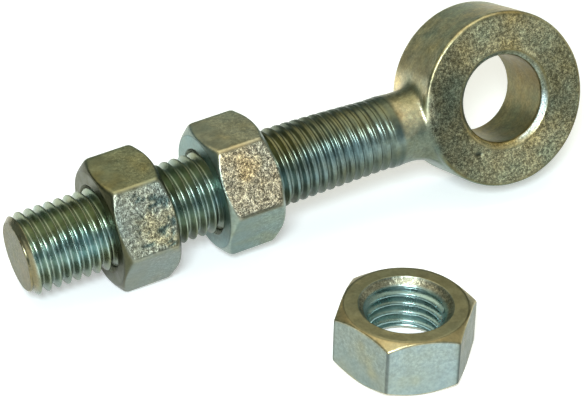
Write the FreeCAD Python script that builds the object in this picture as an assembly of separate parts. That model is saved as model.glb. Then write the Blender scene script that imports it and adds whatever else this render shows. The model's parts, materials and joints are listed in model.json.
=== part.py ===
import FreeCAD, Part
import math
import os

# Threaded eye bolt M20 with its three hexagon nuts.
#
# Row frame, millimetres: +Z up from the surface that everything lies on, +X level and pointing
# from the threaded tip towards the eye, origin at the centre of the eye's hole.
#
# The bolt and its two nuts are drawn in the bolt's own frame first: x along the shank towards
# the eye, y along the hole of the eye, z across. lay_down() then brings them into the row frame.

# ---- thread (metric coarse, M20) ----
THREAD_D = 20.0
PITCH = 2.5
THREAD_RUNNING_GAP = 0.05          # radial, between shank and nut
TIP_FLAT_D = 16.6                  # flat end left by the lead-in chamfer

# ---- eye ----
EYE_OUTER_D = 44.6
EYE_BORE_D = 22.2
EYE_THICKNESS = 18.7
EYE_BORE_CHAMFER = 1.3             # on the front side, towards -y
EYE_BACK_CHAMFER = 0.3
EYE_RIM_ROUND = 0.6
EYE_TO_TIP = 128.0

# ---- neck between the eye and the thread ----
NECK_D = 19.0
NECK_FILLET = 5.5                  # where the neck grows out of the eye's rim
THREAD_END_X = -29.5               # last full turn of the thread, on the eye's side
RUN_OUT = 1.0

# ---- hexagon nuts ----
NUT_ACROSS_FLATS = 29.3
NUT_HEIGHT = 14.9
NUT_CHAMFER_DEG = 33.0
NUT_FACE_D = 28.8                  # flat annulus left between the corner chamfers
NUT_COUNTERSINK_D = 21.8

# ---- where the nuts sit: centres along the shank, and turn of one corner about it ----
OUTER_NUT_X = -99.6
INNER_NUT_X = OUTER_NUT_X + 11 * PITCH

# ---- how the pieces lie on the surface ----
BOLT_ROLL_DEG = -18.4              # about the shank: the eye leans back on its rim
OUTER_NUT_TURN_DEG = -BOLT_ROLL_DEG                 # so that one flat lies on the surface
INNER_NUT_TURN_DEG = OUTER_NUT_TURN_DEG - 4.3
LOOSE_NUT_XY = (-56.7, -58.4)
LOOSE_NUT_TURN_DEG = -13.5
SETTLING_STEPS = 8                 # rounds to find the tilt at which both contacts touch

THREAD_R = THREAD_D / 2
NUT_BORE_R = THREAD_R + THREAD_RUNNING_GAP
NUT_CORNER_R = NUT_ACROSS_FLATS / math.sqrt(3)

ORIGIN = FreeCAD.Vector(0, 0, 0)
AXIS_X = FreeCAD.Vector(1, 0, 0)
AXIS_Y = FreeCAD.Vector(0, 1, 0)
AXIS_Z = FreeCAD.Vector(0, 0, 1)


def revolve_about_z(profile):
    """Solid of revolution about z from a closed outline of (radius, z) points."""
    points = [FreeCAD.Vector(radius, 0, z) for radius, z in profile]
    face = Part.Face(Part.makePolygon(points + points[:1]))
    return face.revolve(ORIGIN, AXIS_Z, 360)


def eye_ring():
    """The flat round eye: a thick washer with a chamfered hole and rounded outer edges, hole along y."""
    half = EYE_THICKNESS / 2
    outer_r = EYE_OUTER_D / 2
    bore_r = EYE_BORE_D / 2
    washer = revolve_about_z([
        (bore_r, -half + EYE_BORE_CHAMFER),
        (bore_r + EYE_BORE_CHAMFER, -half),
        (outer_r, -half),
        (outer_r, half),
        (bore_r + EYE_BACK_CHAMFER, half),
        (bore_r, half - EYE_BACK_CHAMFER),
    ])
    rims = [edge for edge in washer.Edges
            if isinstance(edge.Curve, Part.Circle) and abs(edge.Curve.Radius - outer_r) < 1e-6]
    washer = washer.makeFillet(EYE_RIM_ROUND, rims)
    washer.rotate(ORIGIN, AXIS_X, -90)
    return washer


def shank():
    """Tip chamfer, plain stand-in for the thread at its full diameter, run-out, and the flared neck."""
    tip_r = TIP_FLAT_D / 2
    neck_r = NECK_D / 2
    rim_r = EYE_OUTER_D / 2
    inside_ring = -(EYE_BORE_D / 2 + EYE_BORE_CHAMFER + 1.0)

    # an arc tangent to the neck's side and to the eye's rim
    arc_r = neck_r + NECK_FILLET
    arc_x = -math.sqrt((rim_r + NECK_FILLET) ** 2 - arc_r ** 2)
    on_rim = rim_r / (rim_r + NECK_FILLET)
    half_turn = (math.atan2(arc_r, -arc_x) + math.pi / 2) / 2
    arc_start = FreeCAD.Vector(neck_r, 0, arc_x)
    arc_middle = FreeCAD.Vector(arc_r - NECK_FILLET * math.sin(half_turn), 0,
                                arc_x + NECK_FILLET * math.cos(half_turn))
    arc_end = FreeCAD.Vector(arc_r * on_rim, 0, arc_x * on_rim)

    outline = [FreeCAD.Vector(radius, 0, z) for radius, z in (
        (arc_r * on_rim, inside_ring),
        (0, inside_ring),
        (0, -EYE_TO_TIP),
        (tip_r, -EYE_TO_TIP),
        (THREAD_R, -EYE_TO_TIP + THREAD_R - tip_r),
        (THREAD_R, THREAD_END_X),
        (neck_r, THREAD_END_X + RUN_OUT),
    )]
    flare = Part.Arc(arc_start, arc_middle, arc_end).toShape()
    sides = Part.makePolygon([arc_end] + outline + [arc_start])
    rod = Part.Face(Part.Wire(sides.Edges + [flare])).revolve(ORIGIN, AXIS_Z, 360)
    rod.rotate(ORIGIN, AXIS_Y, 90)

    # flush with the eye's flat faces
    for side in (-1, 1):
        waste = Part.makeBox(rim_r, EYE_THICKNESS, EYE_OUTER_D)
        waste.translate(FreeCAD.Vector(arc_x, side * EYE_THICKNESS - EYE_THICKNESS / 2, -rim_r))
        rod = rod.cut(waste)
    return rod


def eye_bolt():
    """Eye and shank, forged in one piece."""
    body = eye_ring().fuse(shank())
    return body.removeSplitter()


def hexagon_nut():
    """One nut about the origin: bore along z, a corner towards +x, chamfered on both faces."""
    half = NUT_HEIGHT / 2
    corners = [FreeCAD.Vector(NUT_CORNER_R * math.cos(math.radians(60 * i)),
                              NUT_CORNER_R * math.sin(math.radians(60 * i)), -half)
               for i in range(6)]
    prism = Part.Face(Part.makePolygon(corners + corners[:1])).extrude(AXIS_Z * NUT_HEIGHT)

    face_r = NUT_FACE_D / 2
    beyond_r = NUT_CORNER_R + 1.0
    drop = (beyond_r - face_r) * math.tan(math.radians(NUT_CHAMFER_DEG))
    rounded = revolve_about_z([
        (0, -half), (face_r, -half), (beyond_r, -half + drop),
        (beyond_r, half - drop), (face_r, half), (0, half),
    ])

    sink_r = NUT_COUNTERSINK_D / 2
    sink = sink_r - NUT_BORE_R
    hole = revolve_about_z([
        (0, -half - 1), (sink_r + 1, -half - 1), (NUT_BORE_R, -half + sink),
        (NUT_BORE_R, half - sink), (sink_r + 1, half + 1), (0, half + 1),
    ])
    return prism.common(rounded).cut(hole)


def nut_on_shank(x, turn_deg):
    """A nut threaded on the shank, in the bolt's own frame."""
    nut = hexagon_nut()
    nut.rotate(ORIGIN, AXIS_Z, -90)
    nut.rotate(ORIGIN, AXIS_Y, 90)
    nut.rotate(ORIGIN, AXIS_X, turn_deg)
    nut.translate(FreeCAD.Vector(x, 0, 0))
    return nut


def tilt_deg():
    """Angle of the shank to the surface, with the eye's rim and the outer nut's flat both touching it."""
    roll = math.radians(abs(BOLT_ROLL_DEG))
    straight_half = EYE_THICKNESS / 2 - EYE_RIM_ROUND
    straight_r = EYE_OUTER_D / 2 - EYE_RIM_ROUND
    nut_half = NUT_ACROSS_FLATS / 2
    nut_chamfer = (nut_half - NUT_FACE_D / 2) * math.tan(math.radians(NUT_CHAMFER_DEG))
    nut_edge_x = abs(OUTER_NUT_X) + NUT_HEIGHT / 2 - nut_chamfer
    tilt = 0.0
    for _ in range(SETTLING_STEPS):
        rim_drop = (straight_r * math.hypot(math.sin(tilt), math.cos(tilt) * math.cos(roll))
                    + straight_half * math.cos(tilt) * math.sin(roll) + EYE_RIM_ROUND)
        tilt = math.asin((rim_drop - nut_half * math.cos(tilt)) / nut_edge_x)
    return math.degrees(tilt)


def lay_down(shape):
    """From the bolt's own frame to the row frame: roll about the shank, then tilt the tip down."""
    shape.rotate(ORIGIN, AXIS_X, BOLT_ROLL_DEG)
    shape.rotate(ORIGIN, AXIS_Y, -tilt_deg())
    return shape


def lowest_z(*shapes):
    return min(shape.optimalBoundingBox(False, False).ZMin for shape in shapes)


bolt = lay_down(eye_bolt())
outer_nut = lay_down(nut_on_shank(OUTER_NUT_X, OUTER_NUT_TURN_DEG))
inner_nut = lay_down(nut_on_shank(INNER_NUT_X, INNER_NUT_TURN_DEG))

surface_z = lowest_z(bolt, outer_nut)
loose_nut = hexagon_nut()
loose_nut.rotate(ORIGIN, AXIS_Z, LOOSE_NUT_TURN_DEG)
loose_nut.translate(FreeCAD.Vector(LOOSE_NUT_XY[0], LOOSE_NUT_XY[1], surface_z + NUT_HEIGHT / 2))

os.makedirs("parts", exist_ok=True)
for name, shape in (("eye_bolt", bolt), ("outer_nut", outer_nut),
                    ("inner_nut", inner_nut), ("loose_nut", loose_nut)):
    assert shape.isValid() and len(shape.Solids) == 1, name
    shape.Solids[0].exportStep(f"parts/{name}.step")
    box = shape.optimalBoundingBox(False, False)
    print(f"{name}: volume {shape.Volume:.0f} mm3, x {box.XMin:.2f} {box.XMax:.2f}, "
          f"y {box.YMin:.2f} {box.YMax:.2f}, z {box.ZMin:.2f} {box.ZMax:.2f}")
print(f"tilt {tilt_deg():.3f} deg, surface at z {surface_z:.3f}")
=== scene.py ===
import json
import math
from types import SimpleNamespace

import bmesh
import bpy
import numpy as np
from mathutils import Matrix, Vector


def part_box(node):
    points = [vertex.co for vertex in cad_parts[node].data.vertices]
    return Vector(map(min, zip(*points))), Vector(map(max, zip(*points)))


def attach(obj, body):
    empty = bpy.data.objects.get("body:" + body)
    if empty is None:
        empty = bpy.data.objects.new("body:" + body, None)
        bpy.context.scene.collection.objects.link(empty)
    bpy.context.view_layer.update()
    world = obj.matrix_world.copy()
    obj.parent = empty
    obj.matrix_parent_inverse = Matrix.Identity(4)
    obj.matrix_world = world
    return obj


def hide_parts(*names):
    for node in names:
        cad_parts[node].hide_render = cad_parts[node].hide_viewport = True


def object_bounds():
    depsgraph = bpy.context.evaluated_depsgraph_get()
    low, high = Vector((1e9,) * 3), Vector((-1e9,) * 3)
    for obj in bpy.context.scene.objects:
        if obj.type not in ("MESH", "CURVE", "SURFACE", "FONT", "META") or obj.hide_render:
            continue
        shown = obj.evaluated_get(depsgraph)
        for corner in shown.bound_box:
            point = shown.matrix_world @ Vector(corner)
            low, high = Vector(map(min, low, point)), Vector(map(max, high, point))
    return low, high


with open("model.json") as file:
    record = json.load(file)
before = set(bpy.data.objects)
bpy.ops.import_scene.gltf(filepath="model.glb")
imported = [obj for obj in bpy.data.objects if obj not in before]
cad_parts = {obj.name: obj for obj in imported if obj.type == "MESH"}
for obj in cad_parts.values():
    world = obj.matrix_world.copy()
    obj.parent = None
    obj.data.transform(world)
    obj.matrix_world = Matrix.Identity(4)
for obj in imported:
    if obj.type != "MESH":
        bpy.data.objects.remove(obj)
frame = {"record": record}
cad_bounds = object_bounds()

# Eye bolt with an M20 thread and its three hexagon nuts. Lengths are millimetres until a mesh is
# made.
# The bolt's own frame: x along the shank towards the eye, y along the hole away from the face that
# carries the pit, z across both. Its origin is the centre of the eye.

MM = 0.001
WELD_M = 2e-6
PITCH = 2.5
THREAD_R = 10.0
THREAD_ROOT_R = 8.47
NUT_MINOR_R = 8.66
NUT_MAJOR_R = 10.12
# Fractions of a pitch, counted from the crest, at which the meshes have a row.
MALE_PHASES = [0, 0.04, 0.08, 0.14, 0.25, 0.36, 0.42, 0.5, 0.58, 0.64, 0.75, 0.86, 0.92, 0.96]
FEMALE_PHASES = [0, 0.05, 0.09, 0.18, 0.27, 0.365, 0.41, 0.5, 0.59, 0.635, 0.73, 0.82, 0.91, 0.95]

EYE_R = 22.3
EYE_BORE_R = 11.1
EYE_HALF = 9.35
EYE_CHAMFER = 1.5
EYE_BACK_CHAMFER = 0.3
EYE_CENTRE_TO_TIP = 128.0
NECK_INTO_RING_X = -19
TIP_R = 8.3
TIP_CAP_RADII = [0.6, 1.8, 3.0, 4.2, 5.4, 6.6, 7.6, 8.1]
# The meshes of the head and the shank end here and are joined by a ring of triangles.
NECK_END_X = -28.0
SHANK_END_X = -28.4
SHANK_COLUMNS = 76
HEAD_CELL = 0.38
HEAD_ROUNDS = 6
HEAD_BOX_R, HEAD_BOX_Y = 22.9, 9.9
# Stretches of x: the thread's run-out, the worn part, and where shank turns into neck and ring.
RUN_OUT = (-33.5, -29.2)
WORN = (-80, -34)
NECK_START = (-29.5, NECK_END_X)
NECK_TO_RING = (-21.0, -18.5)
FACE_END_X = -24
BORE_ZONE_X = -15
PIT_X, PIT_Z = -9.9, -11.3
PIT_HALF_X, PIT_HALF_Z = 1.1, 0.65
PIT_DEPTH = 0.6

NUT_HALF_FLATS = 14.65
NUT_HALF_HEIGHT = 7.45
NUT_CHAMFER = math.radians(33.0)
NUT_FACE_R = 14.2
NUT_SINK_R = 10.9
NUT_SINK_SLOPE = 0.9
SINK_CONE_DEPTH = (2.0, 1.2)
FORGED_CORNER, SHARP_CORNER = 1.9, 0.7
# Degrees from a corner at which a nut has a column, up to the middle of a flat.
HALF_FLAT_DEG = [0, 0.5, 1.0, 1.5, 2.0, 2.6, 3.4, 4.6, 6.5,
                 9, 11.5, 14, 16.5, 19, 21.5, 24, 26.5, 29]
SIXTH = math.pi / 3
CRACK_STRETCH = [0.55, 1.7, 1.7]


# ---------------------------------------------------------------- colours of the zinc and painted light

# Each triple is linear red, green and blue. Most are painted light as well as the zinc's tone: most
# faces that point upwards get an olive painted reflection of the warm overhead, most that point
# sideways or down a blue-grey painted reflection of the floor, and the names mark painted
# highlights and painted shade.

SHANK_TOP_REFLECTION = (0.34, 0.38, 0.25)
SHANK_FRONT_REFLECTION = (0.42, 0.55, 0.53)
SHANK_UNDER_SHADE = (0.19, 0.225, 0.165)
RIM_TOP_REFLECTION = (0.64, 0.57, 0.33)
RIM_SIDE_SHADE = (0.15, 0.135, 0.066)
RIM_UNDER_REFLECTION = (0.22, 0.26, 0.20)
NECK_TOP_REFLECTION = (0.34, 0.33, 0.20)
NECK_HIGHLIGHT = (0.90, 0.79, 0.53)
NECK_UNDER_SHADE = (0.17, 0.20, 0.155)
BORE = (0.23, 0.20, 0.098)
BORE_FLOOR_REFLECTION = (0.42, 0.35, 0.16)
BORE_EDGE = (0.28, 0.33, 0.28)
BORE_EDGE_GOLD_REFLECTION = (0.55, 0.44, 0.20)
BORE_EDGE_HIGHLIGHT = (0.80, 0.95, 1.0)
FACE_DARK = (0.195, 0.205, 0.145)
FACE_LIGHT = (0.40, 0.36, 0.22)
TIP = (0.15, 0.135, 0.07)
TIP_EDGE = (0.30, 0.26, 0.15)
GOLD_CAST = (1.12, 1.0, 0.82)
PIT_DARK = (0.012, 0.014, 0.008)
CRACK_DARK = (0.04, 0.08, 0.08)
ROOT_SHADE = (0.045, 0.075, 0.075)
# A nut's six flats, low end face, high end face, end chamfers, countersinks and thread. Flat 1 of
# a nut on the shank is its top one, and flat 2 the rough one beside it. Each colour is the zinc's
# tone with painted light in it: flats and faces that point up are lighter olive, a painted
# reflection of the warm overhead; those that point sideways or down are a blue-grey painted
# reflection of the floor; the loose nut's sixth flat is dark painted shade and its end chamfers a
# painted golden highlight.
OUTER_NUT = (((0.33, 0.34, 0.24), (0.38, 0.40, 0.245), (0.28, 0.295, 0.25), (0.18, 0.21, 0.18),
              (0.22, 0.25, 0.22), (0.29, 0.30, 0.24)), (0.085, 0.09, 0.045), (0.28, 0.30, 0.23),
             (0.085, 0.085, 0.045), (0.20, 0.21, 0.14), (0.30, 0.36, 0.32))
INNER_NUT = (((0.36, 0.36, 0.26), (0.60, 0.60, 0.43), (0.33, 0.292, 0.216), (0.165, 0.225, 0.20),
              (0.20, 0.25, 0.22), (0.30, 0.32, 0.26)), (0.22, 0.32, 0.30), (0.30, 0.33, 0.26),
             (0.28, 0.34, 0.29), (0.24, 0.28, 0.22), (0.30, 0.36, 0.32))
LOOSE_NUT = (((0.24, 0.26, 0.20), (0.30, 0.32, 0.27), (0.30, 0.34, 0.30), (0.25, 0.29, 0.26),
              (0.31, 0.385, 0.385), (0.085, 0.105, 0.065)), (0.30, 0.34, 0.31), (0.37, 0.36, 0.22),
             (0.52, 0.44, 0.24), (0.34, 0.32, 0.225), (0.40, 0.57, 0.56))


# ---------------------------------------------------------------- where things are, from the record

def bolt_axes():
    """The bolt's own x, y and z, as vectors of the row frame."""
    mounts = {m["name"]: m for m in frame["record"]["mounts"]}
    along_hole = Vector(mounts["eye_bore"]["axis"]).normalized()
    along_shank = -Vector(mounts["shank_thread"]["axis"]).normalized()
    across = along_shank.cross(along_hole).normalized()
    return [np.array(v) for v in (along_shank, along_hole, across)]


BOLT_AXES = bolt_axes()
ROW_AXES = [np.array(v, float) for v in ((0, 0, 1), (1, 0, 0), (0, 1, 0))]


def box_centre(node):
    low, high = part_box(node)
    return np.array((low + high) / 2) / MM


def to_row(points, axes, origin=(0, 0, 0)):
    """Points given along three axes, as points of the row frame."""
    return points @ np.array(axes) + np.array(origin, float)


# ---------------------------------------------------------------- numbers

def smoothstep(low, high, x):
    """0 at low and 1 at high, which may be the smaller of the two."""
    t = np.clip((x - low) / (high - low), 0, 1)
    return t * t * (3 - 2 * t)


# Turns each octave, so that the lattices don't line up.
OCTAVE_TURN = np.array([[0.36, 0.48, -0.8], [-0.8, 0.6, 0], [0.48, 0.64, 0.6]])
LATTICE = 32
LATTICE_SHIFT = 500.37
OCTAVE_GAIN = 0.55


def value_noise(points, cell, seed):
    """Smooth random values from -1 to 1, with features about one cell across."""
    lattice = np.random.default_rng(seed).uniform(-1, 1, (LATTICE, LATTICE, LATTICE))
    q = np.asarray(points) / cell + LATTICE_SHIFT
    whole = np.floor(q).astype(int)
    f = q - whole
    f = f * f * (3 - 2 * f)
    total = np.zeros(len(q))
    for corner in range(8):
        step = np.array([corner & 1, corner >> 1 & 1, corner >> 2 & 1])
        weight = np.prod(np.where(step, f, 1 - f), axis=1)
        i, j, k = ((whole + step) % LATTICE).T
        total += weight * lattice[i, j, k]
    return total


def fractal(points, cell, seed):
    """Three octaves of noise, from -1 to 1."""
    total, scale, size = np.zeros(len(points)), 1.0, 0.0
    for octave in range(3):
        points = points @ OCTAVE_TURN
        total += scale * value_noise(points, cell / 2 ** octave, seed + octave)
        size += scale
        scale *= OCTAVE_GAIN
    return total / size


def fractal_01(points, cell, seed):
    return 0.5 + 0.5 * fractal(points, cell, seed)


# ---------------------------------------------------------------- threads

def thread_phase(x, theta):
    """0 on the crest of the right-hand male thread, 0.5 at its root."""
    return np.mod(x / PITCH - theta / (2 * math.pi), 1.0)


def from_crest(phase):
    return np.minimum(phase, 1 - phase)


def male_radius(phase):
    away = from_crest(phase)
    return np.interp(away, [0, 0.035, 0.065, 0.1, 0.36, 0.40, 0.44, 0.5],
                     [9.99, 9.975, 9.90, 9.76, 8.66, 8.54, 8.49, THREAD_ROOT_R])


def female_radius(phase):
    away = from_crest(phase)
    return np.interp(away, [0, 0.05, 0.09, 0.365, 0.40, 0.43, 0.5],
                     [NUT_MAJOR_R, NUT_MAJOR_R - 0.02, 9.95, 8.80, 8.69, NUT_MINOR_R, NUT_MINOR_R])


def helical_rows(low, high, theta, phases):
    """Rows of x that follow the thread, one row per phase, cut off square at low and high."""
    turns = np.arange(math.floor(low / PITCH) - 1, math.ceil(high / PITCH) + 1)
    starts = (turns[:, None] + np.array(phases)[None, :]).ravel()
    x = (starts[:, None] + theta[None, :] / (2 * math.pi)) * PITCH
    return np.clip(x, low, high)


# ---------------------------------------------------------------- meshes

def grid_faces(rows, columns, first=0, closed_rows=False):
    """Quads of a grid whose columns run round in a ring."""
    i = np.arange(rows if closed_rows else rows - 1)[:, None]
    j = np.arange(columns)[None, :]
    i2, j2 = (i + 1) % rows, (j + 1) % columns
    quads = np.stack([i * columns + j, i * columns + j2, i2 * columns + j2, i2 * columns + j], -1)
    return (quads.reshape(-1, 4) + first).tolist()


def make_mesh(name, points, faces):
    mesh = bpy.data.meshes.new(name)
    mesh.from_pydata((np.asarray(points) * MM).tolist(), [], faces)
    work = bmesh.new()
    work.from_mesh(mesh)
    bmesh.ops.remove_doubles(work, verts=work.verts, dist=WELD_M)
    bmesh.ops.recalc_face_normals(work, faces=work.faces)
    work.to_mesh(mesh)
    work.free()
    mesh.update()
    return mesh


def coordinates(mesh):
    flat = np.zeros(len(mesh.vertices) * 3)
    mesh.vertices.foreach_get("co", flat)
    return flat.reshape(-1, 3)


def vertex_normals(mesh):
    flat = np.zeros(len(mesh.vertices) * 3)
    mesh.vertex_normals.foreach_get("vector", flat)
    return flat.reshape(-1, 3)


def sink(mesh, depth_mm):
    """Moves each vertex inwards by its own depth, so the mesh never grows."""
    moved = coordinates(mesh) - vertex_normals(mesh) * (np.maximum(depth_mm, 0) * MM)[:, None]
    mesh.vertices.foreach_set("co", moved.ravel())
    mesh.update()


def add_value(mesh, name, values):
    """A number from 0 to 1 at each vertex, which the zinc's material reads."""
    layer = mesh.attributes.new(name, "FLOAT", "POINT")
    layer.data.foreach_set("value", np.clip(values, 0, 1).astype(np.float32))


def add_colour_and_light(mesh, colours):
    """The colour at each vertex, with its painted light and shade, before the material's own clouds
    and grain.
    """
    layer = mesh.attributes.new("colour_and_light", "FLOAT_COLOR", "POINT")
    rgba = np.concatenate([np.clip(colours, 0, 1), np.ones((len(colours), 1))], 1)
    layer.data.foreach_set("color", rgba.astype(np.float32).ravel())


def blend_colours(under, over, weight):
    """Colours that go from under to over as weight goes from 0 to 1."""
    return under + (np.array(over) - under) * np.asarray(weight)[:, None]


def finish_piece(name, mesh, material, body, node):
    mesh.polygons.foreach_set("use_smooth", [True] * len(mesh.polygons))
    mesh.materials.append(material)
    piece = bpy.data.objects.new(name, mesh)
    bpy.context.scene.collection.objects.link(piece)
    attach(piece, body)
    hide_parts(node)


# ---------------------------------------------------------------- eye bolt

def smooth_max(a, b, r):
    """The larger of a and b, rounded over where they are within r of each other."""
    h = np.maximum(r - np.abs(a - b), 0) / r
    return np.maximum(a, b) + h * h * r / 4


def smooth_min(a, b, r):
    return -smooth_max(-a, -b, r)


def droop(x):
    """How much the shank thins, and how far its centre drops, towards the eye."""
    t = np.clip((x + 72) / 46, 0, 1)
    return 0.95 * t * t


def head_distance(p):
    """Below 0 inside the eye and the neck. p is in the bolt's own frame."""
    x, y, z = p[:, 0], p[:, 1], p[:, 2]
    rho, side = np.hypot(x, z), np.abs(y)
    drop = droop(x)
    neck = np.hypot(y, z + drop) - (THREAD_R - drop)
    neck = smooth_max(neck, x - NECK_INTO_RING_X, 2.0)
    ring = smooth_max(rho - EYE_R, side - EYE_HALF, 1.3)
    inner = 1 - smoothstep(5.5, 8.5, side)
    fillet = 0.7 + inner * (1.6 + 3.2 * smoothstep(4, -6, z))
    body = smooth_min(ring, neck, fillet)
    face = side - EYE_HALF - 0.2 * np.maximum(-25.0 - x, 0)
    body = smooth_max(body, face, 0.3)
    bore = EYE_BORE_R - rho
    front = ((-y - EYE_HALF) - (rho - EYE_BORE_R - EYE_CHAMFER)) / math.sqrt(2)
    back = ((y - EYE_HALF) - (rho - EYE_BORE_R - EYE_BACK_CHAMFER)) / math.sqrt(2)
    return smooth_max(body, smooth_max(smooth_max(bore, front, 0.35), back, 0.2), 0.35)


def gradient(distance, p):
    step = 0.01
    parts = [(distance(p + step * e) - distance(p - step * e)) / (2 * step) for e in np.eye(3)]
    return np.stack(parts, 1)


def surface_nets(distance, low, high, cell):
    """Points and quads of distance == 0, left open where the solid leaves the box at its low end
    of x, and which points lie on that opening."""
    n = np.ceil((np.array(high) - low) / cell).astype(int) + 1
    axes = [low[i] + cell * np.arange(n[i]) for i in range(3)]
    nodes = np.stack(np.meshgrid(*axes, indexing="ij"), -1)
    d = distance(nodes.reshape(-1, 3)).reshape(n)
    cells = tuple(n - 1)
    total, count = np.zeros(cells + (3,)), np.zeros(cells)
    crossings = []
    for axis in range(3):
        here = [slice(None)] * 3
        there = [slice(None)] * 3
        here[axis], there[axis] = slice(0, -1), slice(1, None)
        a, b = d[tuple(here)], d[tuple(there)]
        cross = (a < 0) != (b < 0)
        where = np.where(cross, a / np.where(cross, a - b, 1), 0)
        point = nodes[tuple(here)].copy()
        point[..., axis] += where * cell
        u, v = [k for k in range(3) if k != axis]
        for du in (0, 1):
            for dv in (0, 1):
                part = [slice(None)] * 3
                part[u] = slice(du, du + cells[u])
                part[v] = slice(dv, dv + cells[v])
                part = tuple(part)
                total += np.where(cross[part][..., None], point[part], 0)
                count += cross[part]
        crossings.append((cross, a < 0, u, v))
    used = count > 0
    index = np.full(cells, -1)
    index[used] = np.arange(used.sum())
    points = total[used] / count[used][:, None]
    faces = []
    for axis, (cross, inside, u, v) in enumerate(crossings):
        part = [slice(None)] * 3
        part[u], part[v] = slice(1, cells[u]), slice(1, cells[v])
        at = np.argwhere(cross[tuple(part)])
        at[:, u] += 1
        at[:, v] += 1
        ring = []
        for du, dv in ((1, 1), (0, 1), (0, 0), (1, 0)):
            c = at.copy()
            c[:, u] -= du
            c[:, v] -= dv
            ring.append(index[c[:, 0], c[:, 1], c[:, 2]])
        faces.append(np.stack(ring, 1))
    first_layer = np.argwhere(used)[:, 0] == 0
    faces = np.concatenate(faces)
    faces = faces[~first_layer[faces].all(axis=1)]
    kept = np.unique(faces)
    return points[kept], np.searchsorted(kept, faces), first_layer[kept]


def relax(points, quads, distance, fixed, rounds):
    """Evens the mesh out and brings it back onto the surface, round after round."""
    pairs = np.concatenate([quads[:, [k, (k + 1) % 4]] for k in range(4)])
    for _ in range(rounds):
        total, count = np.zeros_like(points), np.zeros(len(points))
        np.add.at(total, pairs[:, 0], points[pairs[:, 1]])
        np.add.at(total, pairs[:, 1], points[pairs[:, 0]])
        np.add.at(count, pairs[:, 0], 1)
        np.add.at(count, pairs[:, 1], 1)
        moved = points + 0.6 * (total / count[:, None] - points)
        for _ in range(2):
            g = gradient(distance, moved)
            moved -= (distance(moved) / np.maximum((g * g).sum(1), 0.05))[:, None] * g
        moved[fixed] = points[fixed]
        points = moved
    return points


def zip_rings(a, b, angle_a, angle_b):
    """Triangles between two rings of vertex numbers, matched by angle."""
    order_a, order_b = np.argsort(angle_a), np.argsort(angle_b)
    a, b = a[order_a], b[order_b]
    ta = np.append(angle_a[order_a], angle_a[order_a[0]] + 2 * math.pi)
    tb = np.append(angle_b[order_b], angle_b[order_b[0]] + 2 * math.pi)
    i = j = 0
    faces = []
    while i < len(a) or j < len(b):
        if j >= len(b) or (i < len(a) and ta[i + 1] <= tb[j + 1]):
            faces.append([int(a[i % len(a)]), int(a[(i + 1) % len(a)]), int(b[j % len(b)])])
            i += 1
        else:
            faces.append([int(b[(j + 1) % len(b)]), int(b[j % len(b)]), int(a[i % len(a)])])
            j += 1
    return faces


def shank_envelope(x, theta, trim):
    """Distance from the thread's axis to the shank's outline, thinner and lower near the eye."""
    drop = droop(x)
    reach = THREAD_R - drop - trim
    return np.sqrt(reach ** 2 - (drop * np.cos(theta)) ** 2) - drop * np.sin(theta)


def shank_radius(x, theta):
    """Radius of the threaded shank. Its crests are worn away near the eye, most of all on top."""
    phase = thread_phase(x, theta)
    away = from_crest(phase)
    wear = smoothstep(*WORN, x)
    crest_wear = 0.12 * wear * np.exp(-(away / 0.045) ** 2)
    root = THREAD_ROOT_R + 0.12 * wear
    worn = shank_envelope(x, theta, 0.02 + 0.28 * wear)
    faint = 0.16 * wear * smoothstep(0.22, 0.5, away)
    radius = np.minimum(np.maximum(male_radius(phase), root), worn - faint) - crest_wear
    run_out = smoothstep(*RUN_OUT, x)
    radius = radius + np.maximum(shank_envelope(x, theta, 0) - radius, 0) * run_out
    lead_in = TIP_R + (x + EYE_CENTRE_TO_TIP)
    return np.minimum(radius, lead_in)


def head_shape():
    """Points and quads of the eye and the neck, and which points lie on the neck's open end."""
    low = np.array([NECK_END_X, -HEAD_BOX_Y, -HEAD_BOX_R])
    high = np.array([HEAD_BOX_R, HEAD_BOX_Y, HEAD_BOX_R])
    points, quads, edge = surface_nets(head_distance, low, high, HEAD_CELL)
    drop = droop(NECK_END_X)
    edge_centre = np.array([0.0, 0.0, -drop])
    spoke = points[edge] - edge_centre
    spoke[:, 0] = 0
    spoke *= ((THREAD_R - drop) / np.linalg.norm(spoke, axis=1))[:, None]
    points[edge] = spoke + edge_centre + [NECK_END_X, 0, 0]
    return relax(points, quads, head_distance, edge, HEAD_ROUNDS), quads, edge


def bolt_shape():
    """Points and faces of the whole bolt, in its own frame."""
    points, quads, edge = head_shape()
    theta = np.arange(SHANK_COLUMNS) * 2 * math.pi / SHANK_COLUMNS
    x = helical_rows(-EYE_CENTRE_TO_TIP, SHANK_END_X, theta, MALE_PHASES)
    radius = shank_radius(x, theta[None, :])
    cap_x = np.full((len(TIP_CAP_RADII), SHANK_COLUMNS), -EYE_CENTRE_TO_TIP)
    cap_radius = np.repeat(np.array(TIP_CAP_RADII)[:, None], SHANK_COLUMNS, 1)
    x, radius = np.concatenate([cap_x, x]), np.concatenate([cap_radius, radius])
    shank = np.stack([x, radius * np.cos(theta), radius * np.sin(theta)], -1).reshape(-1, 3)

    first = len(points)
    faces = quads.tolist() + grid_faces(len(x), SHANK_COLUMNS, first)
    faces.append(list(range(first, first + SHANK_COLUMNS)))
    head_ring = np.flatnonzero(edge)
    shank_ring = first + (len(x) - 1) * SHANK_COLUMNS + np.arange(SHANK_COLUMNS)
    head_angle = np.mod(np.arctan2(points[edge][:, 2], points[edge][:, 1]), 2 * math.pi)
    faces += zip_rings(head_ring, shank_ring, head_angle, theta)
    return np.concatenate([points, shank]), faces


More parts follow.
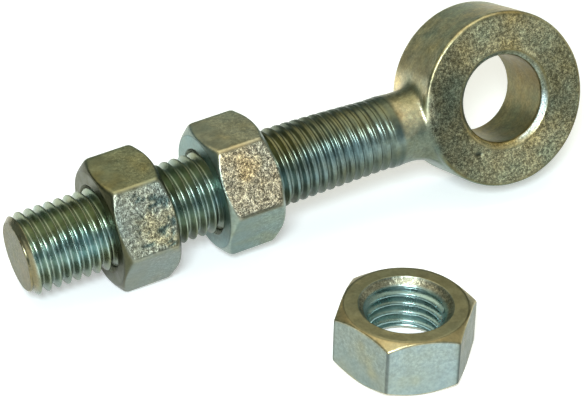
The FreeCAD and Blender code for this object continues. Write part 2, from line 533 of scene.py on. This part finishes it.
def bolt_zones(own):
    """How far each vertex belongs to each part of the bolt, from 0 to 1."""
    x, y, z = own.T
    rho = np.hypot(x, z)
    face = smoothstep(EYE_HALF - 0.16, EYE_HALF - 0.02, np.abs(y)) * (x > FACE_END_X)
    head = smoothstep(*NECK_START, x)
    near_bore = smoothstep(EYE_BORE_R + 1.6, EYE_BORE_R + 0.2, rho) * (x > BORE_ZONE_X)
    bore = smoothstep(EYE_BORE_R + 0.25, EYE_BORE_R + 0.05, rho) * (x > BORE_ZONE_X)
    neck = smoothstep(NECK_TO_RING[1], NECK_TO_RING[0], x)
    tip = (x < -EYE_CENTRE_TO_TIP + 0.05).astype(float)
    from_pit = np.hypot((x - PIT_X) / PIT_HALF_X, (z - PIT_Z) / PIT_HALF_Z)
    pit = face * (y < 0) * smoothstep(1.3, 0.7, from_pit)
    bore_edge = near_bore * (1 - face) * smoothstep(0.05, 0.5, rho - EYE_BORE_R)
    return SimpleNamespace(face=face, head=head, near_bore=near_bore, bore=bore, neck=neck,
                           tip=tip, pit=pit, bore_edge=bore_edge)


def bolt_relief(own, zone):
    """How deep the forged grain, swell, marks and pit go, in millimetres."""
    grain, swell = fractal_01(own, 1.1, 3), fractal_01(own, 7.0, 9)
    depth = zone.face * (0.10 * grain ** 1.5 + 0.10 * swell)
    depth += zone.head * (1 - zone.face) * (1 - zone.near_bore) * (0.16 * swell + 0.02 * grain)
    depth += zone.tip * (0.10 * swell + 0.05 * grain)
    depth += PIT_DEPTH * zone.pit
    return depth + zone.bore_edge * 0.14 * fractal_01(own, 0.8, 41)


def shank_colour_and_light(own, crest, spoke_up, drift, zone):
    """Colours of the shank, with painted light: an olive painted reflection on top, a teal painted
    reflection on the front and painted shade underneath. crest is 1 on the crests; spoke_up is 1 on
    top and -1 underneath.
    """
    x = own[:, 0]
    # Painted light by the way each spoke faces: painted reflection on top and front, painted shade
    # underneath.
    colour_and_light = np.tile(SHANK_FRONT_REFLECTION, (len(x), 1))
    colour_and_light = blend_colours(colour_and_light, SHANK_TOP_REFLECTION, smoothstep(0.45, 0.95, spoke_up + drift))
    colour_and_light = blend_colours(colour_and_light, SHANK_UNDER_SHADE, smoothstep(0.25, -0.25, spoke_up + drift))
    colour_and_light *= (1.15 - 0.18 * smoothstep(-112, -100, x) - 0.34 * smoothstep(-68, -55, x))[:, None]
    # Painted shade on the crests on top, which tones down their reflection of the overhead.
    top_crest_shade = smoothstep(0.75, 0.95, crest) * (1 - zone.head)
    colour_and_light *= (1 - 0.35 * top_crest_shade * smoothstep(0.45, 0.8, spoke_up))[:, None]
    return colour_and_light


def head_colour_and_light(own, up, spoke_up, drift, zone):
    """Colours of the eye and the neck, with painted light laid by the way each face points. up is
    the height of each vertex's normal.
    """
    x, _, z = own.T
    rho, round_hole = np.hypot(x, z), np.arctan2(z, x)
    high_or_low = smoothstep(0.35, 0.85, np.abs(z) / np.maximum(rho, 1) + drift)
    # Painted light: the rim's sides are painted shade, its top an olive painted reflection of the
    # overhead and its underside a blue-grey painted reflection of the floor.
    colour_and_light = np.tile(RIM_SIDE_SHADE, (len(x), 1))
    for colour, weight in (
            (RIM_TOP_REFLECTION, smoothstep(0.2, 0.8, up + drift)),
            (RIM_UNDER_REFLECTION, smoothstep(0.0, -0.5, up + drift)),
            # The neck: painted shade underneath, a golden painted highlight on the front, and an
            # olive painted reflection on top.
            (NECK_UNDER_SHADE, zone.neck),
            (NECK_HIGHLIGHT, zone.neck * smoothstep(0.1, 0.5, spoke_up + drift)),
            (NECK_TOP_REFLECTION, zone.neck * smoothstep(0.68, 0.95, spoke_up + drift)),
            (BORE_EDGE, zone.near_bore),
            # Round the hole: a painted highlight on the chamfer at lower right, and a gold painted
            # reflection of the overhead where the chamfer and the wall face up at the bottom.
            (BORE_EDGE_HIGHLIGHT, zone.near_bore * smoothstep(0.75, 0.40, np.abs(round_hole + 0.75))),
            (BORE_EDGE_GOLD_REFLECTION, zone.near_bore * smoothstep(0.75, 0.45, np.abs(round_hole + 2.0))),
            (BORE, zone.bore),
            (BORE_FLOOR_REFLECTION, zone.bore * smoothstep(-0.3, -0.9, z / EYE_BORE_R)),
            (FACE_DARK, zone.face),
            (FACE_LIGHT, zone.face * high_or_low)):
        colour_and_light = blend_colours(colour_and_light, colour, weight)
    colour_and_light *= (1 - 0.5 * zone.face * smoothstep(-4, -15, x))[:, None]
    return blend_colours(colour_and_light, PIT_DARK, zone.pit)


def bolt_mesh(name):
    own, faces = bolt_shape()
    mesh = make_mesh(name, to_row(own, BOLT_AXES), faces)
    own = (coordinates(mesh) / MM) @ np.array(BOLT_AXES).T
    x, y, z = own.T
    zone = bolt_zones(own)
    shank = (1 - zone.head) * (1 - zone.tip)
    crest = np.abs(thread_phase(x, np.arctan2(z, y)) - 0.5) * 2
    sink(mesh, bolt_relief(own, zone))
    add_value(mesh, "rough",
              zone.face + 0.35 * zone.tip + 0.12 * zone.head + 0.5 * zone.bore_edge - 2 * zone.pit)
    # Painted shade in the thread roots, and the dark pit.
    add_value(mesh, "root_shade_and_dark_marks", (1 - crest) * shank + zone.pit)
    add_value(mesh, "polish", shank * smoothstep(-30, -120, x))

    up = vertex_normals(mesh)[:, 2]
    spoke = np.stack([0 * x, y, z], 1)
    spoke_up = (spoke @ np.array(BOLT_AXES))[:, 2] / np.maximum(np.hypot(y, z), 1)
    drift = 0.25 * fractal(own, 9.0, 17)
    colour_and_light = shank_colour_and_light(own, crest, spoke_up, drift, zone)
    colour_and_light = blend_colours(colour_and_light, head_colour_and_light(own, up, spoke_up, drift, zone), zone.head)
    colour_and_light = blend_colours(colour_and_light, TIP_EDGE, smoothstep(-126.0, -126.8, x))
    add_colour_and_light(mesh, blend_colours(colour_and_light, TIP, zone.tip))
    return mesh


# ---------------------------------------------------------------- nuts

def hexagon_radius(from_corner, corner_round):
    """Distance from the axis to a hexagon with rounded corners, by the angle from the nearest."""
    half = SIXTH / 2
    flat = NUT_HALF_FLATS / np.cos(half - from_corner)
    centre = (NUT_HALF_FLATS - corner_round) / math.cos(half)
    reach = corner_round ** 2 - (centre * np.sin(from_corner)) ** 2
    arc = centre * np.cos(from_corner) + np.sqrt(np.maximum(reach, 0))
    arc_end = half - math.atan((NUT_HALF_FLATS - corner_round) * math.tan(half) / NUT_HALF_FLATS)
    return np.where(from_corner < arc_end, arc, flat)


def rounded_profile(corners, rounds, fills):
    """Rows of (radius, height) along a line with softened corners, each a (columns, 2) array.
    rounds says how far from each corner its curve starts, fills where rows go after it."""
    tangents = []
    for k, corner in enumerate(corners):
        if rounds[k] == 0:
            tangents.append((corner, corner))
            continue
        back, ahead = corners[k - 1] - corner, corners[k + 1] - corner
        lb, la = np.linalg.norm(back, axis=1), np.linalg.norm(ahead, axis=1)
        reach = np.minimum(rounds[k], 0.45 * np.minimum(lb, la))[:, None]
        tangents.append((corner + back / lb[:, None] * reach,
                         corner + ahead / la[:, None] * reach))
    rows = []
    for k, corner in enumerate(corners):
        a, b = tangents[k]
        steps = [0.0] if rounds[k] == 0 else np.linspace(0, 1, 5)
        rows += [(1 - t) ** 2 * a + 2 * t * (1 - t) * corner + t * t * b for t in steps]
        if k + 1 < len(corners):
            after = tangents[k + 1][0]
            rows += [b + (after - b) * t for t in fills[k]]
    return np.stack(rows)


def spread(count, ends):
    """Fractions strictly between 0 and 1, closer together at the ends."""
    t = np.linspace(0, 1, count + 2)[1:-1]
    return (1 - ends) * t + ends * (t * t * (3 - 2 * t))


def nut_columns(turn_deg):
    """Angle of each column about the thread's axis, and its angle from the nearest corner."""
    sector = HALF_FLAT_DEG + [60 - a for a in reversed(HALF_FLAT_DEG[1:])]
    relative = np.radians(np.concatenate([np.array(sector) + 60 * k for k in range(6)]))
    from_corner = np.abs(np.mod(relative + SIXTH / 2, SIXTH) - SIXTH / 2)
    return relative + math.radians(turn_deg), from_corner


def nut_outside(from_corner, corner_round):
    """Rows of (radius, height) down the outside, from one countersink's rim to the other's."""
    outer = hexagon_radius(from_corner, corner_round)

    def corner(radius, height):
        return np.stack(np.broadcast_arrays(radius, height), -1) + np.zeros((len(outer), 2))

    shoulder = NUT_HALF_HEIGHT - (outer - NUT_FACE_R) * math.tan(NUT_CHAMFER)
    upper = [(NUT_SINK_R, NUT_HALF_HEIGHT), (NUT_FACE_R, NUT_HALF_HEIGHT), (outer, shoulder)]
    corners = [corner(r, h) for r, h in upper] + [corner(r, -h) for r, h in reversed(upper)]
    face_fill, cone_fill, flat_fill = spread(9, 0.6), spread(4, 0.0), spread(26, 0.75)
    edge = 0.35 + 0.35 * corner_round
    return rounded_profile(corners, [0, 0.5, edge, edge, 0.5, 0],
                           [face_fill, cone_fill, flat_fill, cone_fill, face_fill])


def nut_shape(turn_deg, thread_start, corner_round):
    """Points and faces of a nut, in its own frame: the thread's axis, then two across it."""
    theta, from_corner = nut_columns(turn_deg)
    outside = nut_outside(from_corner, corner_round)
    low, high = thread_start - NUT_HALF_HEIGHT, thread_start + NUT_HALF_HEIGHT
    x = helical_rows(low, high, theta, FEMALE_PHASES)
    height = x - thread_start
    cone = NUT_SINK_R - (NUT_HALF_HEIGHT - np.abs(height)) * NUT_SINK_SLOPE
    bore = np.maximum(female_radius(thread_phase(x, theta[None, :])), cone)
    radius = np.concatenate([outside[..., 0], bore])
    height = np.concatenate([outside[..., 1], height])
    points = np.stack([height, radius * np.cos(theta), radius * np.sin(theta)], -1)
    return points.reshape(-1, 3), grid_faces(len(radius), len(theta), closed_rows=True)


def nut_zones(own, turn_deg, seed, rough_flats):
    """Which flat each vertex is on, and how far it belongs to each part, from 0 to 1."""
    h, u, v = own.T
    rho = np.hypot(u, v)
    angle = np.mod(np.arctan2(v, u) - math.radians(turn_deg), 2 * math.pi)
    in_flat = np.mod(angle, SIXTH)
    from_mid = np.abs(in_flat - SIXTH / 2)
    flat = np.floor(angle / SIXTH).astype(int) % 6
    on_flat = smoothstep(NUT_HALF_FLATS - 0.12, NUT_HALF_FLATS - 0.02, rho * np.cos(from_mid))
    on_flat *= smoothstep(0.512, 0.46, from_mid)
    forged = np.array(rough_flats)[flat]
    rough = forged * (1 - 2.2 * (1 - forged) * smoothstep(1.0, -5.5, h))
    shifted = own + 40.0 * seed
    swell = fractal_01(shifted, 5.0, seed + 5)
    scars = 1 - smoothstep(0.0, 0.16, np.abs(fractal(shifted * CRACK_STRETCH, 3.0, seed + 8)))
    cracks = on_flat * smoothstep(0.60, 0.75, rough) * scars * smoothstep(0.40, 0.50, swell)
    cracks *= forged < 0.9
    inside = 1 - smoothstep(NUT_SINK_R - 0.3, NUT_SINK_R + 0.1, rho)
    sink_low, sink_high = [NUT_HALF_HEIGHT - d for d in SINK_CONE_DEPTH]
    sink_cone = smoothstep(sink_low, sink_high, np.abs(h)) * inside
    return SimpleNamespace(h=h, rho=rho, in_flat=in_flat, from_mid=from_mid, flat=flat,
                           on_flat=on_flat, forged=forged, rough=rough, shifted=shifted,
                           swell=swell, cracks=cracks, inside=inside, sink_cone=sink_cone)


def nut_relief(zone, seed):
    """How deep the forged grain, swell and cracks go, in millimetres."""
    grain = fractal_01(zone.shifted, 1.0, seed)
    outside = smoothstep(NUT_SINK_R + 0.1, NUT_SINK_R + 0.8, zone.rho)
    depth = outside * (0.05 * zone.swell)
    depth = depth + zone.on_flat * (0.06 * zone.swell + zone.forged * (0.10 * grain ** 1.5))
    return depth + (0.22 * zone.cracks
                    + 0.08 * zone.sink_cone * fractal_01(zone.shifted, 0.9, seed + 11))


def nut_colour_and_light(zone, seed, colours_and_light, corner_round):
    """Colours of a nut, with painted light and shade, laid one over another."""
    flats, low_face, high_face, chamfer, countersink, bore = colours_and_light
    # Each flat's colour carries its painted light: lighter or bluer flats are painted reflections,
    # the darkest painted shade.
    colour_and_light = np.array(flats)[zone.flat]
    near_edge = smoothstep(0.44, 0.56, zone.from_mid)
    past_middle = zone.in_flat > SIXTH / 2
    for side in (-1, 1):
        beside = np.array(flats)[(zone.flat + side) % 6]
        colour_and_light = blend_colours(colour_and_light, beside, 0.5 * near_edge * (past_middle == (side > 0)))
    gold = smoothstep(0.05, 0.45, fractal(zone.shifted, 8.0, seed + 3))
    colour_and_light = blend_colours(colour_and_light, colour_and_light * GOLD_CAST, gold)
    crease = smoothstep(0.488, 0.512, zone.from_mid) * (corner_round < 1)
    colour_and_light *= (1 - 0.5 * crease)[:, None]
    colour_and_light = blend_colours(colour_and_light, CRACK_DARK, 0.85 * np.clip(zone.cracks, 0, 1))

    rho, height = zone.rho, np.abs(zone.h)
    # The end chamfers; on the loose nut their colour is a painted golden highlight.
    shoulder = NUT_HALF_HEIGHT - (rho - NUT_FACE_R) * math.tan(NUT_CHAMFER)
    cone = smoothstep(-0.1, 0.35, height - shoulder + 0.3)
    cone *= smoothstep(NUT_FACE_R - 0.1, NUT_FACE_R + 0.2, rho)
    colour_and_light = blend_colours(colour_and_light, chamfer, cone)
    end = smoothstep(NUT_HALF_HEIGHT - 0.6, NUT_HALF_HEIGHT - 0.3, height)
    end *= rho < NUT_FACE_R + 0.1
    colour_and_light = blend_colours(colour_and_light, low_face, end * (zone.h < 0))
    colour_and_light = blend_colours(colour_and_light, high_face, end * (zone.h > 0))
    ring_line = smoothstep(0.28, 0.08, np.abs(rho - NUT_FACE_R)) * (height > NUT_HALF_HEIGHT - 0.6)
    colour_and_light *= (1 - 0.4 * ring_line)[:, None]
    colour_and_light = blend_colours(colour_and_light, bore, zone.inside)
    return blend_colours(colour_and_light, countersink, zone.sink_cone)


def nut_mesh(name, axes, centre, turn_deg, thread_start, seed, rough_flats, colours_and_light, corner_round):
    """One nut. axes are its own frame in the row frame, and thread_start is where its centre lies
    along the thread."""
    points, faces = nut_shape(turn_deg, thread_start, corner_round)
    mesh = make_mesh(name, to_row(points, axes, centre), faces)
    own = (coordinates(mesh) / MM - centre) @ np.array(axes).T
    zone = nut_zones(own, turn_deg, seed, rough_flats)
    sink(mesh, nut_relief(zone, seed))
    add_value(mesh, "rough", zone.on_flat * zone.rough + 0.45 * zone.sink_cone)
    phase = thread_phase(own[:, 0] + thread_start, np.arctan2(own[:, 2], own[:, 1]))
    in_groove = np.clip(1 - from_crest(phase) * 4, 0, 1)
    # Painted shade in the thread's roots, and the dark cracks.
    add_value(mesh, "root_shade_and_dark_marks", zone.inside * in_groove + 0.9 * zone.cracks)
    add_value(mesh, "polish", zone.inside * (1 - zone.sink_cone))
    add_colour_and_light(mesh, nut_colour_and_light(zone, seed, colours_and_light, corner_round))
    return mesh


# ---------------------------------------------------------------- materials

class Nodes:
    """Short names for building a material's nodes."""

    def __init__(self, name):
        self.material = bpy.data.materials.new(name)
        self.material.use_nodes = True
        self.tree = self.material.node_tree
        self.shader = self.tree.nodes["Principled BSDF"]

    def add(self, kind, **values):
        node = self.tree.nodes.new(kind)
        for key, value in values.items():
            if hasattr(node, key):
                setattr(node, key, value)
            else:
                node.inputs[key.replace("_", " ")].default_value = value
        return node

    def link(self, output, socket):
        self.tree.links.new(output, socket)

    def attribute(self, name):
        return self.add("ShaderNodeAttribute", attribute_name=name).outputs["Fac"]

    def noise(self, vector, scale, detail, roughness):
        node = self.add("ShaderNodeTexNoise", Scale=scale, Detail=detail, Roughness=roughness)
        self.link(vector, node.inputs["Vector"])
        return node.outputs["Fac"]

    def ramp(self, value, stops):
        node = self.add("ShaderNodeValToRGB")
        self.link(value, node.inputs["Fac"])
        elements = node.color_ramp.elements
        while len(elements) < len(stops):
            elements.new(0.5)
        for element, (place, colour) in zip(elements, stops):
            element.position = place
            element.color = (*colour, 1)
        return node.outputs["Color"]

    def scalar_ramp(self, value, low, high, from_value, to_value):
        node = self.add("ShaderNodeMapRange")
        node.inputs["From Min"].default_value = low
        node.inputs["From Max"].default_value = high
        node.inputs["To Min"].default_value = from_value
        node.inputs["To Max"].default_value = to_value
        self.link(value, node.inputs["Value"])
        return node.outputs["Result"]

    def math(self, operation, a, b):
        node = self.add("ShaderNodeMath", operation=operation)
        for socket, value in zip(node.inputs, (a, b)):
            if isinstance(value, (int, float)):
                socket.default_value = value
            else:
                self.link(value, socket)
        return node.outputs["Value"]

    def scale(self, colour, factor):
        node = self.add("ShaderNodeVectorMath", operation="SCALE")
        self.link(colour, node.inputs[0])
        self.link(factor, node.inputs["Scale"])
        return node.outputs["Vector"]

    def mix(self, factor, a, b, blend="MIX"):
        node = self.add("ShaderNodeMix", data_type="RGBA", blend_type=blend)
        for index, value in ((0, factor), (6, a), (7, b)):
            if isinstance(value, (int, float)):
                node.inputs[index].default_value = value
            elif isinstance(value, tuple):
                node.inputs[index].default_value = (*value, 1)
            else:
                self.link(value, node.inputs[index])
        return node.outputs[2]

    def bump(self, height, strength, distance, normal=None):
        node = self.add("ShaderNodeBump", Distance=distance)
        self.link(height, node.inputs["Height"])
        if isinstance(strength, (int, float)):
            node.inputs["Strength"].default_value = strength
        else:
            self.link(strength, node.inputs["Strength"])
        if normal is not None:
            self.link(normal, node.inputs["Normal"])
        return node.outputs["Normal"]


def zinc(name, seed, contrast, clouding):
    """Zinc plate over the mesh's colours, which carry painted light and shade: clouds, grain where
    the face is rough, and painted shade in the thread roots, also laid on the dark cracks and pit.
    contrast is the gain of the brightest grains, and clouding that of the clouds."""
    n = Nodes(name)
    place = n.add("ShaderNodeTexCoord").outputs["Object"]
    shift = n.add("ShaderNodeMapping")
    shift.inputs["Location"].default_value = (seed * 0.37, seed * 0.11, seed * 0.23)
    n.link(place, shift.inputs["Vector"])
    place = shift.outputs["Vector"]
    rough = n.attribute("rough")
    root_shade_and_dark_marks = n.attribute("root_shade_and_dark_marks")
    colour_and_light = n.add("ShaderNodeAttribute", attribute_name="colour_and_light").outputs["Color"]

    clouds = n.noise(place, 95.0, 4.0, 0.6)
    patches = n.noise(place, 310.0, 3.0, 0.6)
    mottle = n.noise(place, 1300.0, 2.0, 0.6)
    speckle = n.noise(place, 3300.0, 2.0, 0.7)
    fine = n.noise(place, 6500.0, 2.0, 0.6)

    tint = n.ramp(clouds, [(0.33, (1.0, 0.90, 0.70)), (0.50, (0.93, 0.93, 0.90)),
                           (0.66, (0.80, 0.93, 1.0))])
    base = n.mix(clouding, colour_and_light, tint, "MULTIPLY")
    patch_gain = 0.18 * clouding
    base = n.scale(base, n.scalar_ramp(patches, 0.32, 0.68, 1 - patch_gain, 1 + patch_gain))
    base = n.scale(base, n.scalar_ramp(mottle, 0.30, 0.70, 0.88, 1.12))
    grains = n.math("ADD", n.math("MULTIPLY", speckle, 0.6), n.math("MULTIPLY", mottle, 0.4))
    gain = n.ramp(grains, [(spot, (grey, grey, grey))
                           for spot, grey in ((0.37, 0.08), (0.49, 0.35), (0.61, 1.0))])
    gain = n.math("MULTIPLY", gain, contrast)
    gain = n.math("ADD", 1.0, n.math("MULTIPLY", rough, n.math("SUBTRACT", gain, 1.0)))
    base = n.scale(base, gain)
    # Painted shade in the thread roots; the same darkening lies on the real cracks and the pit.
    base = n.mix(n.math("MULTIPLY", root_shade_and_dark_marks, 0.38), base, ROOT_SHADE)
    n.link(base, n.shader.inputs["Base Color"])
    n.shader.inputs["Metallic"].default_value = 1.0

    shine = n.scalar_ramp(patches, 0.3, 0.7, 0.30, 0.42)
    shine = n.math("ADD", shine, n.math("MULTIPLY", rough, 0.06))
    shine = n.math("SUBTRACT", shine, n.math("MULTIPLY", n.attribute("polish"), 0.07))
    n.link(shine, n.shader.inputs["Roughness"])

    relief = n.bump(speckle, n.math("ADD", n.math("MULTIPLY", rough, 0.9), 0.05), 0.0002)
    relief = n.bump(mottle, n.math("ADD", n.math("MULTIPLY", rough, 0.6), 0.07), 0.0004, relief)
    relief = n.bump(fine, 0.06, 0.0001, relief)
    relief = n.bump(patches, 0.14, 0.0006, relief)
    n.link(relief, n.shader.inputs["Normal"])
    return n.material


def floor_material():
    n = Nodes("floor_white")
    place = n.add("ShaderNodeTexCoord").outputs["Object"]
    cloud = n.noise(place, 3.0, 2.0, 0.5)
    n.link(n.ramp(cloud, [(0.3, (0.88, 0.92, 0.94)), (0.7, (0.90, 0.93, 0.95))]),
           n.shader.inputs["Base Color"])
    n.shader.inputs["Roughness"].default_value = 0.9
    n.shader.inputs["Specular IOR Level"].default_value = 0.1
    n.shader.inputs["Emission Color"].default_value = (1.0, 1.0, 1.0, 1)
    n.shader.inputs["Emission Strength"].default_value = 0.38
    return n.material


bolt_zinc = zinc("zinc_forging", 1.0, 2.2, 1.0)
nut_zinc = zinc("zinc_nut", 2.0, 2.9, 0.55)
bright_zinc = zinc("zinc_nut_bright", 3.0, 2.2, 0.4)

finish_piece("eye_bolt_forged", bolt_mesh("eye_bolt_forged"), bolt_zinc, "bolt", "eye_bolt")
for node, body, turn_deg, rough_flats, seed, colours_and_light in (
        ("outer_nut", "nut_towards_tip", 18.4, (0.1, 0.2, 0.85, 0.15, 0.3, 0.5), 21, OUTER_NUT),
        ("inner_nut", "nut_towards_eye", 14.1, (0.2, 0.15, 1.0, 0.2, 0.5, 0.3), 34, INNER_NUT)):
    name = node + "_threaded"
    centre = box_centre(node)
    thread_start = float(centre @ BOLT_AXES[0])
    mesh = nut_mesh(name, BOLT_AXES, centre, turn_deg, thread_start, seed, rough_flats, colours_and_light,
                    FORGED_CORNER)
    finish_piece(name, mesh, nut_zinc, body, node)
mesh = nut_mesh("loose_nut_threaded", ROW_AXES, box_centre("loose_nut"), -13.5, 0.6, 55,
                (0.1, 0.15, 0.1, 0.12, 0.08, 0.15), LOOSE_NUT, SHARP_CORNER)
finish_piece("loose_nut_threaded", mesh, bright_zinc, "nut_on_surface", "loose_nut")


# ---------------------------------------------------------------- floor, light and camera

def floor():
    low, _ = cad_bounds
    radius, sides = 2.5, 24
    points = [(0, 0, low[2])]
    faces = []
    for i in range(sides):
        a = 2 * math.pi * i / sides
        points.append((radius * math.cos(a), radius * math.sin(a), low[2]))
        faces.append((0, 1 + i, 1 + (i + 1) % sides))
    mesh = bpy.data.meshes.new("floor")
    mesh.from_pydata(points, [], faces)
    mesh.materials.append(floor_material())
    plane = bpy.data.objects.new("floor", mesh)
    bpy.context.scene.collection.objects.link(plane)


def area_light(name, place, aim, size, power, colour):
    light = bpy.data.lights.new(name, "AREA")
    light.shape = "RECTANGLE"
    light.size, light.size_y = size
    light.energy = power
    light.color = colour
    lamp = bpy.data.objects.new(name, light)
    lamp.location = place
    lamp.rotation_euler = (Vector(aim) - Vector(place)).to_track_quat("-Z", "Y").to_euler()
    bpy.context.scene.collection.objects.link(lamp)


floor()
TARGET = (-0.06, -0.01, 0.0)
area_light("overhead", (-0.05, 0.15, 0.75), TARGET, (0.9, 0.7), 1.8, (1.0, 0.95, 0.80))
area_light("key", (-0.38, -0.50, 0.50), TARGET, (0.17, 0.17), 5.0, (0.86, 0.96, 1.0))
area_light("side", (0.75, -0.25, 0.25), TARGET, (0.5, 0.5), 0.5, (1.0, 0.95, 0.85))

world = bpy.data.worlds.new("studio")
bpy.context.scene.world = world
world.use_nodes = True
tree = world.node_tree
background = tree.nodes["Background"]
direction = tree.nodes.new("ShaderNodeTexCoord")
split = tree.nodes.new("ShaderNodeSeparateXYZ")
ramp = tree.nodes.new("ShaderNodeValToRGB")
tree.links.new(direction.outputs["Generated"], split.inputs[0])
tree.links.new(split.outputs["Z"], ramp.inputs["Fac"])
tree.links.new(ramp.outputs["Color"], background.inputs["Color"])
stops = ramp.color_ramp.elements
stops[0].position = 0.0
stops[0].color = (0.16, 0.23, 0.24, 1)
stops[1].position = 0.9
stops[1].color = (0.46, 0.42, 0.30, 1)
middle = stops.new(0.35)
middle.color = (0.10, 0.14, 0.14, 1)
background.inputs["Strength"].default_value = 1.0

camera = bpy.data.cameras.new("camera")
camera.sensor_fit = "HORIZONTAL"
camera.sensor_width = 36.0
camera.lens = 134.728
camera.clip_start = 0.01
camera.clip_end = 20.0
view = bpy.data.objects.new("camera", camera)
view.location = (-0.266878, -0.395954, 0.282580)
view.rotation_euler = [math.radians(a) for a in (56.3408, -1.0040, -27.4630)]
bpy.context.scene.collection.objects.link(view)
bpy.context.scene.camera = view
bpy.context.scene.view_settings.view_transform = "Standard"
